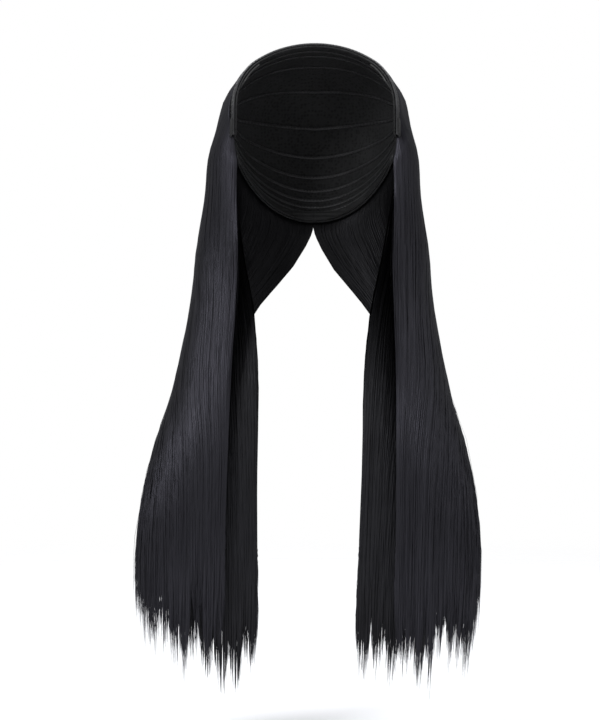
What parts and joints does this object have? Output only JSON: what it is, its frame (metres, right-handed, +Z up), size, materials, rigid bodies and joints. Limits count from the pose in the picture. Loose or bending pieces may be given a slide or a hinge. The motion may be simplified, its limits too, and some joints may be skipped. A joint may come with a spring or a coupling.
{
  "type": "half wig",
  "caption": "Half wig with a banded cap for the back of the head and long straight hair drawn forward over both shoulders.",
  "frame": {"origin": "where the crown of the head meets the inside of the cap", "axes": "+Z up out of the crown, -Y towards the face, +X to the right of someone who looks at the face"},
  "size_m": [0.285, 0.2065, 0.5634],
  "materials": {
    "cap_net": "matt black stretch net",
    "band_elastic": "matt black bound elastic",
    "comb_plastic": "smooth dark plastic",
    "hair_fibre": "satin black fibre"
  },
  "bodies": {
    "root": {"cap": "cap_net", "front_band": "band_elastic", "temple_tab_left": "band_elastic", "temple_tab_right": "band_elastic", "nape_band": "band_elastic", "comb_left": "comb_plastic", "comb_right": "comb_plastic", "hair_top_left": "hair_fibre", "hair_top_right": "hair_fibre", "hair_under_left": "hair_fibre", "hair_under_right": "hair_fibre"}
  },
  "joints": []
}
